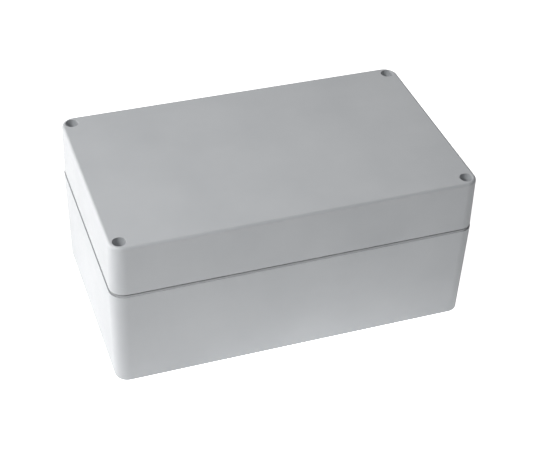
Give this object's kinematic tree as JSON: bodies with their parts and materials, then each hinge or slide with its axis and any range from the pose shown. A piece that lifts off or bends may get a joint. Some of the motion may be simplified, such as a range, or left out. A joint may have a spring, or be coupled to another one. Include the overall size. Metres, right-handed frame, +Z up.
{
  "type": "plastic enclosure",
  "caption": "Rectangular moulded plastic box with a deep base, a sealed lid held by captive screws sunk in its corners, and wall-mounting holes beside them.",
  "frame": {"origin": "centre of the underside of the base", "axes": "+X along the length, +Y across the width, +Z up out of the lid"},
  "size_m": [0.2, 0.12, 0.09],
  "materials": {
    "housing": "fine spark-eroded texture, light grey",
    "seal": "soft foamed seal, black",
    "screw": "plain stainless",
    "insert": "turned, knurled outside"
  },
  "bodies": {
    "base": {"base": "housing", "threaded_inserts": "insert"},
    "lid": {"lid": "housing", "gasket": "seal", "lid_screws": "screw"}
  },
  "joints": [
    {"name": "lid_lift", "type": "slide", "parent": "base", "child": "lid", "axis": [0, 0, 1], "range_m": [0, 0.1]}
  ]
}
